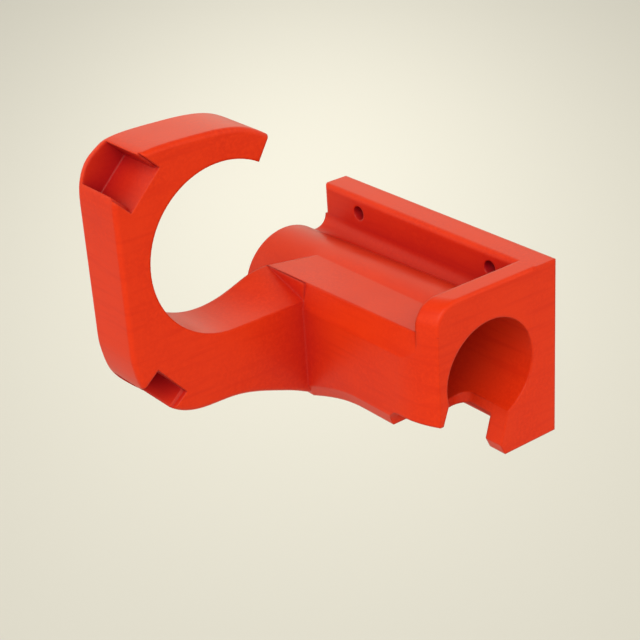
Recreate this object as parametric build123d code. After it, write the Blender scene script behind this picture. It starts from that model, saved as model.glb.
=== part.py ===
"""Wall holder for a pressure washer lance and hose, moulded in one piece.

Lengths are in millimetres. X runs along the wall, -Y points away from the wall, Z is up.
The origin is on the wall side of the plate, at the plate's centre.
"""
import math
import os

from build123d import *

# Wall plate
plate_length = 134.6
plate_height = 80.0
plate_thickness = 13.3
plate_corner_radius = 2.5

# Screw holes through the plate
screw_hole_radius = 3.3
screw_spacing_x = 85.2
screw_spacing_z = 64.4

# End plate at the socket's mouth
end_thickness = 9.2
end_corner_radius = 10.0
end_foot_reach = 31.7
end_foot_height = 5.0
end_edge_round = 1.5

# Tapered socket and the web that joins it to the plate
axis_reach = 36.9
axis_height = 41.5
mouth_radius = 23.7
far_bore_radius = 20.0
socket_wall = 4.1
web_height = 17.9
web_radius = 6.0

# Notch under the mouth
notch_length = 26.5
notch_front_reach = 63.0
notch_front_height = 26.8
notch_front_angle = 15.0
notch_back_angle = 24.0
notch_round = 6.0

# Body in front of the socket
body_front = 69.5
bevel_depth = 2.5
bevel_height = 54.0
body_top_near = 67.0
body_top_far = 64.9
mouth_relief_depth = 4.8
mouth_relief_length = 19.0
top_corner_drop = 3.0
top_corner_length = 10.5

# Arched lower edge of the body
underside_height = 20.6
underside_bevel = 3.6
underside_drop = 2.1
arch_length = 35.0
root_height = 13.0

# Hook
hook_offset = 80.5
hook_width = 27.5
hook_centre_reach = 105.0
hook_centre_height = 93.8
hook_inner_radius = 36.6
hook_back_thickness = 12.9
hook_top_thickness = 13.6
hook_tip_thickness = 11.6
hook_tip_angle = 59.0
hook_shoulder = 17.5
hook_edge_round = 2.0

# Pockets in the hook's outside
pocket_end_wall = 3.6
pocket_lip = 2.5
pocket_step = 1.0
upper_pocket_angle = 135.0
upper_pocket_floor = 49.3
upper_pocket_width = 18.8
upper_pocket_shift = 0.0
lower_pocket_angle = 220.3
lower_pocket_floor = 56.2
lower_pocket_width = 17.0
lower_pocket_shift = 16.5

half_length = plate_length / 2
bottom = -plate_height / 2
top = plate_height / 2
axis_y = -axis_reach
axis_z = bottom + axis_height
near_radius = mouth_radius + socket_wall
far_radius = far_bore_radius + socket_wall
front_y = -body_front
bevel_y = front_y + bevel_depth
hook_near = half_length - hook_offset
hook_far = hook_near - hook_width
hook_y = -hook_centre_reach
hook_z = bottom + hook_centre_height
hook_floor = hook_z - hook_inner_radius
hook_back = hook_y - hook_inner_radius - hook_back_thickness
hook_crown = hook_z + hook_inner_radius + hook_top_thickness


def prism(points, x_from, x_to):
    """Solid between two X positions with a closed outline of (y, z) points."""
    outline = Polyline(*[(x_from, y, z) for y, z in points], close=True)
    return extrude(make_face(outline), amount=x_to - x_from, dir=(1, 0, 0))


def x_cylinder(radius, y, z, x_from, x_to):
    """Round solid along X."""
    return Pos((x_from + x_to) / 2, y, z) * Rot(0, 90, 0) * Cylinder(radius, x_to - x_from)


def x_cone(far, near):
    """Tapered round solid on the socket's axis, over the whole length."""
    cone = Cone(far, near, plate_length)
    return Pos(0, axis_y, axis_z) * Rot(0, 90, 0) * cone


# Wall plate with soft front corners
def wall_plate():
    plate = Pos(0, -plate_thickness / 2, 0) * Box(plate_length, plate_thickness, plate_height)
    front = plate.faces().sort_by(Axis.Y)[0]
    free_end = front.edges().filter_by(Axis.Z).sort_by(Axis.X)[0]
    long_edges = front.edges().filter_by(Axis.X)
    return fillet([free_end] + list(long_edges), plate_corner_radius)


# Web between plate and socket, with a hollow round above and below
def web(side):
    face_y = -plate_thickness
    high = axis_z + side * web_height
    far_high = high + side * web_radius
    inner = face_y - web_radius
    bend = web_radius * (1 - math.sqrt(0.5))
    middle = (-half_length, face_y - bend, high + side * bend)
    arc = ThreePointArc((-half_length, face_y, far_high), middle, (-half_length, inner, high))
    rest = Polyline(
        (-half_length, inner, high),
        (-half_length, inner - 2, high),
        (-half_length, inner - 2, axis_z),
        (-half_length, face_y + 2, axis_z),
        (-half_length, face_y + 2, far_high),
        (-half_length, face_y, far_high),
    )
    outline = make_face(Wire([arc] + list(rest.edges())))
    return extrude(outline, amount=plate_length, dir=(1, 0, 0))


# Upright end plate with its foot and its soft outer edges
def end_plate(relief):
    points = [
        (0, bottom),
        (-(end_foot_reach - 2.4), bottom),
        (-end_foot_reach, bottom + end_foot_height),
        (-end_foot_reach, axis_z),
        (front_y, axis_z),
        (front_y, top),
        (0, top),
    ]
    plate = prism(points, half_length - end_thickness, half_length) - relief
    top_face = plate.faces().sort_by(Axis.Z)[-1]
    corner = top_face.edges().sort_by(Axis.Y)[0]
    plate = fillet(corner, end_corner_radius)
    outer_face = plate.faces().sort_by(Axis.X)[-1]
    soft = [e for e in outer_face.edges() if e.center().Z > axis_z + 1 and e.center().Y < -1]
    return fillet(soft, end_edge_round)


def arch_height(x):
    """Height of the body's lower front edge at an X position."""
    share = min(max((x - hook_near) / arch_length, 0), 1)
    return bottom + root_height + (underside_height - root_height) * math.sin(share * math.pi / 2)


def body_wire(y, roof_far, roof_near, drop):
    """Front outline of the body at one depth."""
    xs = [hook_near + arch_length * i / 6 for i in range(7)]
    arch = Spline(*[(x, y, arch_height(x) - drop) for x in xs], tangents=[(1, 0, 0.34), (1, 0, 0)])
    low_far = (hook_far, y, bottom + root_height - drop)
    low_start = (hook_near, y, bottom + root_height - drop)
    low_end = (xs[-1], y, bottom + underside_height - drop)
    low_near = (half_length, y, bottom + underside_height - drop)
    edges = [Line(low_far, low_start), arch, Line(low_end, low_near)]
    edges.append(Line(low_near, (half_length, y, roof_near)))
    edges.append(Line((half_length, y, roof_near), (hook_far, y, roof_far)))
    edges.append(Line((hook_far, y, roof_far), low_far))
    return Wire(edges)


# Body in front of the socket: bevelled front, arched underside, sloping top
def front_body():
    ledge = bottom + bevel_height
    face = body_wire(front_y, ledge, ledge, -underside_bevel)
    behind = body_wire(bevel_y, bottom + body_top_far, bottom + body_top_near, underside_drop)
    slab = Solid.make_loft([face, behind], True)
    bulk = extrude(make_face(behind), amount=axis_y - bevel_y, dir=(0, 1, 0))
    return slab + bulk - top_corner()


# Sloping facet at the far corner of the body's top
def top_corner():
    high = bottom + body_top_far
    fall = top_corner_drop / (socket_gap() * 0.85)
    climb = (top_corner_drop + 1.2) / top_corner_length

    def level(x, y):
        return high + climb * (x - hook_far) - fall * (y - front_y)

    corners = [(hook_far - 1, front_y - 1), (hook_far - 1, axis_y + 1), (hook_far + 26, axis_y + 1)]
    outline = Polyline(*[(x, y, level(x, y)) for x, y in corners], close=True)
    return extrude(make_face(outline), amount=14, dir=(0, 0, 1))


def socket_gap():
    """Depth of the body's top from its front to the socket at the far end."""
    rise = body_top_far - axis_height
    return body_front - axis_reach - math.sqrt(max(far_radius**2 - rise**2, 0))


# Soft plan curve that brings the front in towards the mouth
def mouth_relief():
    start = (half_length - mouth_relief_length, front_y, bottom - 5)
    end = (half_length, front_y + mouth_relief_depth, bottom - 5)
    radius = (mouth_relief_length**2 + mouth_relief_depth**2) / (2 * mouth_relief_depth)
    half_turn = math.asin(mouth_relief_length / radius) / 2
    middle = (
        half_length - mouth_relief_length + radius * math.sin(half_turn),
        front_y + radius * (1 - math.cos(half_turn)),
        bottom - 5,
    )
    arc = ThreePointArc(start, middle, end)
    rest = Polyline(
        end,
        (half_length + 2, front_y + mouth_relief_depth + 1, bottom - 5),
        (half_length + 2, front_y - 2, bottom - 5),
        (half_length - mouth_relief_length, front_y - 2, bottom - 5),
        start,
    )
    outline = make_face(Wire([arc] + list(rest.edges())))
    return extrude(outline, amount=plate_height + 10, dir=(0, 0, 1))


LOWER_CURVE = [(0.056, 0.045), (0.181, 0.128), (0.302, 0.198), (0.424, 0.245), (0.545, 0.256),
               (0.664, 0.269), (0.776, 0.333), (0.881, 0.475), (0.953, 0.620), (0.992, 0.835)]


# Hook before its hollow is cut: outline carried through the hook's width, with soft outer edges
def hook_blank():
    x = hook_far
    low = bottom + root_height
    straight_low = hook_z - hook_inner_radius * 0.8
    straight_high = hook_z + hook_inner_radius * 0.7
    span_y = hook_back - front_y
    span_z = straight_low - low
    lower = [(x, front_y, low)]
    lower += [(x, front_y + u * span_y, low + w * span_z) for u, w in LOWER_CURVE]
    lower.append((x, hook_back, straight_low))
    under = Spline(*lower, tangents=[(0, -1, 0.48), (0, 0, 1)])
    back = Line((x, hook_back, straight_low), (x, hook_back, straight_high))
    rise = hook_crown - straight_high
    s = hook_shoulder
    shoulder = Spline(
        (x, hook_back, straight_high),
        (x, hook_back + 0.13 * s, straight_high + 0.545 * rise),
        (x, hook_back + 0.30 * s, straight_high + 0.730 * rise),
        (x, hook_back + 0.58 * s, straight_high + 0.880 * rise),
        (x, hook_back + s, straight_high + 0.985 * rise),
        tangents=[(0, 0, 1), (0, 1, 0.12)],
    )
    angle = math.radians(hook_tip_angle)
    tip_radius = hook_inner_radius + hook_tip_thickness
    tip = (x, hook_y + tip_radius * math.cos(angle), hook_z + tip_radius * math.sin(angle))
    crest = Spline(
        (x, hook_back + s, straight_high + 0.985 * rise),
        (x, hook_y - 13, hook_crown),
        (x, hook_y + 6, hook_crown - 1.2),
        (x, hook_y + 15, hook_crown - 3.4),
        tip,
        tangents=[(0, 1, 0.12), (0, 1, -0.75)],
    )
    rest = Polyline(
        tip,
        (x, hook_y, hook_z),
        (x, bevel_y, bottom + body_top_far - 0.2),
        (x, bevel_y, low),
        (x, front_y, low),
    )
    outline = make_face(Wire([under, back, shoulder, crest] + list(rest.edges())))
    blank = extrude(outline, amount=hook_width, dir=(1, 0, 0))
    middle_x = (hook_far + hook_near) / 2
    soft = []
    for edge in blank.edges():
        place = edge.center()
        reach = math.hypot(place.Y - hook_y, place.Z - hook_z)
        outside = place.Y < hook_y + 27 and reach > hook_inner_radius + 4
        on_a_side = abs(abs(place.X - middle_x) - hook_width / 2) < 0.01
        if outside and on_a_side and not edge.is_interior:
            soft.append(edge)
    return fillet(soft, hook_edge_round)


def saddle_wire(x, rise):
    """Outline at one X position of the hollow over the arm."""
    ledge = bottom + bevel_height
    lean = bevel_depth / (bottom + body_top_near - ledge)
    start = (x, hook_y, hook_floor)
    span = bevel_y - hook_y
    end_z = hook_floor + rise
    end_y = front_y + (end_z - ledge) * lean
    mid = (x, hook_y + 0.45 * span, hook_floor + 0.40 * rise)
    late = (x, hook_y + 0.70 * span, hook_floor + 0.83 * rise)
    end = (x, end_y, end_z)
    curve = Spline(start, mid, late, end, tangents=[(0, 1, 0), (0, 1, 0)])
    roof = hook_z + 1
    edges = [curve, Line(end, (x, bevel_y, roof))]
    edges.append(Line((x, bevel_y, roof), (x, hook_y, roof)))
    edges.append(Line((x, hook_y, roof), start))
    return Wire(edges)


# Hollow over the arm: level along the near face, rising along the far face
def saddle():
    rise = bottom + body_top_far - hook_floor
    margin = 1.0
    slope = rise / hook_width
    wires = [saddle_wire(hook_far - margin, rise + slope * margin), saddle_wire(hook_near, 0.3)]
    tool = Solid.make_loft(wires, True)
    return tool + prism(
        [(hook_y, hook_floor), (bevel_y - 1, hook_floor + 0.3), (bevel_y, hook_z + 1), (hook_y, hook_z + 1)],
        hook_near,
        hook_near + 2,
    )


# Notch under the mouth, open to the front and below
def notch():
    front = math.radians(180 + notch_front_angle)
    back = math.radians(270 + notch_back_angle)
    low = bottom - 5
    points = [
        (axis_y, axis_z),
        (axis_y + mouth_radius * math.cos(front), axis_z + mouth_radius * math.sin(front)),
        (-notch_front_reach, bottom + notch_front_height),
        (front_y - 5, bottom + notch_front_height),
        (front_y - 5, low),
        (-end_foot_reach, low),
        (-end_foot_reach, bottom + end_foot_height),
        (axis_y + mouth_radius * math.cos(back), axis_z + mouth_radius * math.sin(back)),
    ]
    inner = half_length - notch_length
    tool = prism(points, inner, half_length + 1)
    back_wall = tool.faces().sort_by(Axis.X)[0]
    soft = []
    for e in back_wall.edges():
        c = e.center()
        along_front = c.Y < -notch_front_reach and c.Z > bottom + notch_front_height - 0.1
        along_back = c.Y > -end_foot_reach - 0.1 and c.Z < axis_z - mouth_radius * 0.8
        if along_front or along_back:
            soft.append(e)
    return fillet(soft, notch_round)


# Screw holes through the plate
def screw_holes():
    holes = []
    for x in (-screw_spacing_x / 2, screw_spacing_x / 2):
        for z in (-screw_spacing_z / 2, screw_spacing_z / 2):
            bit = Pos(x, -plate_thickness / 2, z) * Rot(90, 0, 0)
            holes.append(bit * Cylinder(screw_hole_radius, plate_thickness + 4))
    return holes


def pocket_prism(angle, floor, width, shift, x_from, x_to):
    """Block outside a flat floor that faces away from the hook's centre."""
    a = math.radians(angle)
    ny, nz = math.cos(a), math.sin(a)
    ty, tz = -nz, ny
    corners = [(floor, shift - width / 2), (floor, shift + width / 2),
               (floor + 25, shift + width / 2), (floor + 25, shift - width / 2)]
    points = [(hook_y + n * ny + t * ty, hook_z + n * nz + t * tz) for n, t in corners]
    return prism(points, x_from, x_to)


# Pockets, each with a slightly wider lip on the near face
def pockets():
    inner = hook_far + pocket_end_wall
    tools = []
    for angle, floor, width, shift in (
        (upper_pocket_angle, upper_pocket_floor, upper_pocket_width, upper_pocket_shift),
        (lower_pocket_angle, lower_pocket_floor, lower_pocket_width, lower_pocket_shift),
    ):
        wide = width + 2 * pocket_step
        tools.append(pocket_prism(angle, floor, width, shift, inner, hook_near + 1))
        tools.append(pocket_prism(angle, floor, wide, shift, hook_near - pocket_lip, hook_near + 1))
    return tools


# Hook with its round hollow, the hollow over the arm and the pockets
def hook():
    hollow = x_cylinder(hook_inner_radius, hook_y, hook_z, hook_far - 1, hook_near + 1)
    shape = hook_blank() - hollow
    shape = shape - saddle()
    return shape - pockets()


# Whole moulding
def holder():
    relief = mouth_relief()
    shape = (front_body() - relief) + end_plate(relief)
    shape = shape + hook()
    webs = web(1) + web(-1)
    shape = wall_plate() + webs + x_cone(far_radius, near_radius) + shape
    shape = shape - x_cone(far_bore_radius, mouth_radius)
    shape = shape - notch()
    return shape - screw_holes()


if __name__ == "__main__":
    os.makedirs("parts", exist_ok=True)
    export_step(holder(), "parts/holder.step")
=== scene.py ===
"""Wall holder for a pressure washer, dressed in satin orange-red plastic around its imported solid."""
import logging
import math
from dataclasses import dataclass, field
from enum import Enum
from typing import Any, Optional, Union

import bmesh
import bpy
from mathutils import Euler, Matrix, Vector

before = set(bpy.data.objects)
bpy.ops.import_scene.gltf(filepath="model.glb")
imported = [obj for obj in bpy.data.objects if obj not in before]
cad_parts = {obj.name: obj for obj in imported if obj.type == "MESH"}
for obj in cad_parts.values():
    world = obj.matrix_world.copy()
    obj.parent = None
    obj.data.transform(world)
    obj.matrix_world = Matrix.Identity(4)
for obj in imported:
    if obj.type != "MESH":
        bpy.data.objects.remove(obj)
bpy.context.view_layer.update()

LOG = logging.getLogger("holder")
Colour = tuple[float, float, float]


class Arithmetic(Enum):
    """Math node operations used by the finishes."""

    ADD = "ADD"
    SUBTRACT = "SUBTRACT"
    MULTIPLY = "MULTIPLY"
    POWER = "POWER"
    LEAST = "MINIMUM"
    MOST = "MAXIMUM"


class Value:
    """A shader value that can be used in Python arithmetic."""

    def __init__(self, bench: "NodeBench", socket: bpy.types.NodeSocket) -> None:
        """Wraps an output socket.

        Args:
            bench: the node tree's builder.
            socket: the output that holds the value.
        """
        self.bench = bench
        self.socket = socket

    def _math(self, operation: Arithmetic, first: Any, second: Any) -> "Value":
        """Adds a Math node.

        Args:
            operation: what the node does.
            first: its first input.
            second: its second input.

        Returns:
            The node's result.
        """
        return self.bench.add("ShaderNodeMath", {"operation": operation.value}, {0: first, 1: second})

    def __add__(self, other: Any) -> "Value":
        """Sum."""
        return self._math(Arithmetic.ADD, self, other)

    def __radd__(self, other: Any) -> "Value":
        """Reflected sum."""
        return self._math(Arithmetic.ADD, other, self)

    def __sub__(self, other: Any) -> "Value":
        """Difference."""
        return self._math(Arithmetic.SUBTRACT, self, other)

    def __rsub__(self, other: Any) -> "Value":
        """Reflected difference."""
        return self._math(Arithmetic.SUBTRACT, other, self)

    def __mul__(self, other: Any) -> "Value":
        """Product."""
        return self._math(Arithmetic.MULTIPLY, self, other)

    def __rmul__(self, other: Any) -> "Value":
        """Reflected product."""
        return self._math(Arithmetic.MULTIPLY, other, self)

    def __pow__(self, other: Any) -> "Value":
        """Power."""
        return self._math(Arithmetic.POWER, self, other)

    def between(self, low: float, high: float) -> "Value":
        """Value measured from low to high as 0 to 1."""
        return (self - low) * (1.0 / (high - low))

    def clamp(self) -> "Value":
        """Value held between 0 and 1."""
        return self._math(Arithmetic.LEAST, self._math(Arithmetic.MOST, self, 0.0), 1.0)


class NodeBench:
    """Builds a node tree for a material or for the surroundings."""

    def __init__(self, owner: Union[bpy.types.Material, bpy.types.World]) -> None:
        """Empties the owner's tree.

        Args:
            owner: the material or world whose tree is built.
        """
        owner.use_nodes = True
        self.tree = owner.node_tree
        self.tree.nodes.clear()

    def add(
        self,
        kind: str,
        settings: Optional[dict[str, Any]] = None,
        inputs: Optional[dict[Any, Any]] = None,
        output: Union[int, str] = 0,
    ) -> Value:
        """Adds a node, sets it and links it.

        Args:
            kind: the node's type.
            settings: attributes set before the sockets, and a ramp's stops.
            inputs: values by socket name or index.
            output: which output to hand back.

        Returns:
            The chosen output, or the first input of a node that has none.
        """
        node = self.tree.nodes.new(kind)
        for key, value in (settings or {}).items():
            if key == "stops":
                self._set_stops(node, value)
            else:
                setattr(node, key, value)
        for key, value in (inputs or {}).items():
            if isinstance(value, Value):
                self.tree.links.new(value.socket, node.inputs[key])
            else:
                node.inputs[key].default_value = value
        return Value(self, node.outputs[output] if len(node.outputs) else node.inputs[0])

    def _set_stops(self, node: bpy.types.Node, stops: tuple[tuple[float, float], ...]) -> None:
        """Gives a ramp its grey stops.

        Args:
            node: the ramp.
            stops: pairs of position and level, in order.
        """
        elements = node.color_ramp.elements
        for _ in stops[2:]:
            elements.new(1.0)
        for element, (position, level) in zip(elements, stops):
            element.position = position
            element.color = (level, level, level, 1.0)

    def object_point(
        self,
        scale: tuple[float, float, float] = (1.0, 1.0, 1.0),
        turn_deg: tuple[float, float, float] = (0.0, 0.0, 0.0),
        shift: tuple[float, float, float] = (0.0, 0.0, 0.0),
    ) -> Value:
        """Object coordinates, moved, turned and stretched.

        Args:
            scale: factor along each axis.
            turn_deg: turn about each axis in degrees.
            shift: offset in metres, after the stretch.

        Returns:
            The coordinates.
        """
        point = self.add("ShaderNodeTexCoord", output="Object")
        turn = tuple(math.radians(angle) for angle in turn_deg)
        values = {"Vector": point, "Location": shift, "Rotation": turn, "Scale": scale}
        return self.add("ShaderNodeMapping", {"vector_type": "POINT"}, values)

    def noise(self, point: Value, scale: float, detail: float = 2.0, roughness: float = 0.5) -> Value:
        """Smooth noise from 0 to 1.

        Args:
            point: where it is read.
            scale: cells in a metre.
            detail: octaves.
            roughness: weight of the finer octaves.

        Returns:
            The noise value.
        """
        values = {"Vector": point, "Scale": scale, "Detail": detail, "Roughness": roughness}
        return self.add("ShaderNodeTexNoise", {}, values)

    def mix(self, share: Any, first: Union[Colour, Value], second: Union[Colour, Value]) -> Value:
        """Blend of two colours.

        Args:
            share: 0 gives the first, 1 the second.
            first: colour or value.
            second: colour or value.

        Returns:
            The blended colour.
        """
        pair = [tone if isinstance(tone, Value) else (*tone, 1.0) for tone in (first, second)]
        settings = {"data_type": "RGBA", "clamp_factor": True}
        return self.add("ShaderNodeMix", settings, {0: share, 6: pair[0], 7: pair[1]}, output=2)


@dataclass(frozen=True)
class MouldedPlastic:
    """Satin orange-red moulded plastic with a fine mottle, flow streaks, soft arrises and painted shade in
    its hollows.
    """

    name: str = "orange_red_plastic"
    colour: Colour = (0.69, 0.033, 0.004)
    deep_colour: Colour = (0.62, 0.024, 0.003)
    warm_colour: Colour = (0.75, 0.041, 0.005)
    # Painted shade: the dark colour mixed into hollows by ambient occlusion, and how far the occlusion looks.
    painted_hollow_shade: Colour = (0.32, 0.001, 0.014)
    painted_shade_reach: float = 0.034
    roughness: float = 0.36
    roughness_spread: float = 0.10
    specular: float = 0.17
    arris: float = 0.0013
    cloud_scale: float = 28.0
    cloud_range: tuple[float, float] = (0.35, 0.975)
    mottle_scale: float = 700.0
    mottle_range: tuple[float, float] = (0.40, 0.65)
    streak_stretch: tuple[float, float, float] = (28.0, 28.0, 420.0)
    streak_turn_deg: tuple[float, float, float] = (0.0, -9.0, 0.0)
    streak_range: tuple[float, float] = (0.50, 0.70)
    streak_share: float = 0.8
    grain_scale: float = 1500.0
    grain_share: float = 0.6
    grain_depth: float = 0.0004
    grain_strength: float = 0.06

    def _paint(self, bench: NodeBench, cloud: Value, mottle: Value) -> Value:
        """Mixes the colour: clouds, fine mottle, flow streaks and painted shade darkening the hollows.

        Args:
            bench: the material's builder.
            cloud: broad noise.
            mottle: fine noise.

        Returns:
            The colour.
        """
        streak_point = bench.object_point(self.streak_stretch, self.streak_turn_deg)
        streak = bench.noise(streak_point, 1.0).between(*self.streak_range).clamp()
        shade = bench.mix(cloud.between(*self.cloud_range), self.deep_colour, self.warm_colour)
        colour = bench.mix(mottle.between(*self.mottle_range), shade, self.colour)
        colour = bench.mix(streak * self.streak_share, colour, self.deep_colour)
        # Painted shade: an ambient occlusion node darkens the base colour towards dark crimson in hollows,
        # creases and under overhangs.
        near = {"Distance": self.painted_shade_reach}
        openness = bench.add("ShaderNodeAmbientOcclusion", {"samples": 8}, near, output="AO")
        return bench.mix(1.0 - openness, colour, self.painted_hollow_shade)

    def _grain(self, bench: NodeBench, point: Value, mottle: Value) -> Value:
        """Works out the normal: softened arrises with a fine grain over them.

        Args:
            bench: the material's builder.
            point: where the grain is read.
            mottle: fine noise.

        Returns:
            The normal.
        """
        soft = bench.add("ShaderNodeBevel", {"samples": 8}, {"Radius": self.arris})
        grain = bench.noise(point, self.grain_scale)
        height = grain * self.grain_share + mottle * (1.0 - self.grain_share)
        values = {
            "Strength": self.grain_strength,
            "Distance": self.grain_depth,
            "Height": height,
            "Normal": soft,
        }
        return bench.add("ShaderNodeBump", {}, values)

    def build(self) -> bpy.types.Material:
        """Makes the material.

        Returns:
            The material, with its node tree.
        """
        material = bpy.data.materials.new(self.name)
        bench = NodeBench(material)
        point = bench.object_point()
        cloud = bench.noise(point, self.cloud_scale, 3.0, 0.55)
        mottle = bench.noise(point, self.mottle_scale, 3.0, 0.6)
        uneven = (cloud - 0.5) * self.roughness_spread + (mottle - 0.5) * self.roughness_spread
        values = {
            "Base Color": self._paint(bench, cloud, mottle),
            "Roughness": uneven + self.roughness,
            "Specular IOR Level": self.specular,
            "Normal": self._grain(bench, point, mottle),
        }
        shader = bench.add("ShaderNodeBsdfPrincipled", {}, values)
        bench.add("ShaderNodeOutputMaterial", {}, {"Surface": shader})
        return material


@dataclass
class Holder:
    """The moulded holder: plate, socket, end plate, body and hook in one piece."""

    node: str = "holder"
    finish: MouldedPlastic = field(default_factory=MouldedPlastic)

    def dress(self) -> bpy.types.Object:
        """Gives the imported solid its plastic.

        Returns:
            The dressed object.
        """
        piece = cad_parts[self.node]
        material = self.finish.build()
        piece.data.materials.clear()
        piece.data.materials.append(material)
        for slot in piece.material_slots:
            slot.material = material
        return piece


@dataclass(frozen=True)
class SoftSun:
    """A distant, wide and therefore soft light."""

    name: str
    azimuth_deg: float
    elevation_deg: float
    spread_deg: float
    strength: float
    colour: Colour = (1.0, 1.0, 1.0)

    def place(self) -> bpy.types.Object:
        """Makes the light.

        Returns:
            The light object.
        """
        lamp = bpy.data.lights.new(self.name, "SUN")
        lamp.energy = self.strength
        lamp.angle = math.radians(self.spread_deg)
        lamp.color = self.colour
        light = bpy.data.objects.new(self.name, lamp)
        azimuth = math.radians(self.azimuth_deg)
        elevation = math.radians(self.elevation_deg)
        direction = Vector((
            math.sin(azimuth) * math.cos(elevation),
            -math.cos(azimuth) * math.cos(elevation),
            math.sin(elevation),
        ))
        light.rotation_euler = direction.to_track_quat("Z", "Y").to_euler()
        bpy.context.scene.collection.objects.link(light)
        return light


@dataclass
class Studio:
    """Pale floor with a painted pool of light that darkens outwards, pale surroundings and soft lights."""

    floor_level: float = -0.60
    floor_reach: float = 14.0
    # Centre, turn and size of the painted pool of light on the floor; its bright centre colour and darker
    # painted-shade edge colour follow.
    painted_light_centre: tuple[float, float] = (-1.35, 0.935)
    floor_turn_deg: float = -143.2
    floor_along: float = 1.48
    floor_across: float = 0.60
    floor_colour: Colour = (0.825, 0.82, 0.865)
    floor_painted_shade: Colour = (0.41, 0.407, 0.427)
    floor_roughness: float = 0.9
    air_colour: Colour = (1.0, 0.965, 0.76)
    air_strength: float = 1.31
    air_levels: tuple[tuple[float, float], ...] = (
        (0.0, 0.85), (0.5, 0.95), (0.72, 1.0), (0.84, 0.55), (1.0, 0.15),
    )
    lights: tuple[SoftSun, ...] = (
        SoftSun("key", 40.0, 42.0, 50.0, 1.8, (1.0, 0.965, 0.78)),
        SoftSun("rim", -127.0, 26.0, 50.0, 0.08, (1.0, 0.965, 0.78)),
    )

    def build(self) -> None:
        """Makes the floor, the surroundings and the lights."""
        self._floor()
        self._air()
        for light in self.lights:
            light.place()

    def _floor(self) -> None:
        """Lays the pale floor far below the holder, with a painted pool of light brightest behind it that
        darkens to painted shade outwards.
        """
        mesh = bpy.data.meshes.new("floor")
        shape = bmesh.new()
        bmesh.ops.create_grid(shape, x_segments=1, y_segments=1, size=self.floor_reach)
        bmesh.ops.translate(shape, verts=shape.verts, vec=(0.0, 0.0, self.floor_level))
        shape.to_mesh(mesh)
        shape.free()
        floor = bpy.data.objects.new("floor", mesh)
        bpy.context.scene.collection.objects.link(floor)
        material = bpy.data.materials.new("pale_floor")
        bench = NodeBench(material)
        # Painted light: an elliptical gradient on the floor, bright at the centre and darkening outwards,
        # stands in for the lights' falloff.
        moved = bench.object_point(shift=(-self.painted_light_centre[0], -self.painted_light_centre[1], 0.0))
        turn = (0.0, 0.0, math.radians(self.floor_turn_deg))
        turned = bench.add("ShaderNodeMapping", {"vector_type": "POINT"}, {"Vector": moved, "Rotation": turn})
        shares = (1.0 / self.floor_along, 1.0 / self.floor_across, 0.0)
        scaled = bench.add("ShaderNodeVectorMath", {"operation": "MULTIPLY"}, {0: turned, 1: shares})
        reach = bench.add("ShaderNodeVectorMath", {"operation": "LENGTH"}, {0: scaled}, output="Value")
        painted_light_falloff = 1.0 - (reach ** 2.0 + 1.0) ** -1.0
        colour = bench.mix(painted_light_falloff, self.floor_colour, self.floor_painted_shade)
        paint = {"Base Color": colour, "Roughness": self.floor_roughness, "Specular IOR Level": 0.0}
        shader = bench.add("ShaderNodeBsdfPrincipled", {}, paint)
        bench.add("ShaderNodeOutputMaterial", {}, {"Surface": shader})
        mesh.materials.append(material)

    def _air(self) -> None:
        """Sets the surroundings: bright near the horizon, darker overhead."""
        world = bpy.data.worlds.new("studio")
        bench = NodeBench(world)
        direction = bench.add("ShaderNodeTexCoord", output="Generated")
        up = bench.add("ShaderNodeSeparateXYZ", {}, {"Vector": direction}, output="Z")
        level = bench.add("ShaderNodeValToRGB", {"stops": self.air_levels}, {"Fac": up * 0.5 + 0.5})
        colour = bench.mix(level, (0.0, 0.0, 0.0), self.air_colour)
        back = bench.add("ShaderNodeBackground", {}, {"Color": colour, "Strength": self.air_strength})
        bench.add("ShaderNodeOutputWorld", {}, {"Surface": back})
        bpy.context.scene.world = world


@dataclass(frozen=True)
class PhotoCamera:
    """Camera at the photograph's place, from the plate's straight edges."""

    location: tuple[float, float, float] = (0.48856, -0.43560, 0.31429)
    turn_deg: tuple[float, float, float] = (63.7058, 3.3802, 51.5826)
    lens_mm: float = 91.239
    sensor_mm: float = 36.0

    def place(self) -> bpy.types.Object:
        """Makes the camera and gives it to the scene.

        Returns:
            The camera object.
        """
        data = bpy.data.cameras.new("photo_camera")
        data.lens = self.lens_mm
        data.sensor_width = self.sensor_mm
        data.sensor_fit = "HORIZONTAL"
        data.clip_start = 0.01
        data.clip_end = 100.0
        camera = bpy.data.objects.new("photo_camera", data)
        camera.location = self.location
        camera.rotation_euler = Euler([math.radians(angle) for angle in self.turn_deg], "XYZ")
        bpy.context.scene.collection.objects.link(camera)
        bpy.context.scene.camera = camera
        return camera


def main() -> None:
    """Dresses the holder, sets up the studio and the camera, and sets the view transform."""
    logging.basicConfig(level=logging.INFO, format="%(name)s: %(message)s")
    piece = Holder().dress()
    LOG.info("dressed %s", piece.name)
    Studio().build()
    PhotoCamera().place()
    view = bpy.context.scene.view_settings
    view.view_transform = "Standard"
    view.look = "None"


if __name__ == "__main__":
    main()
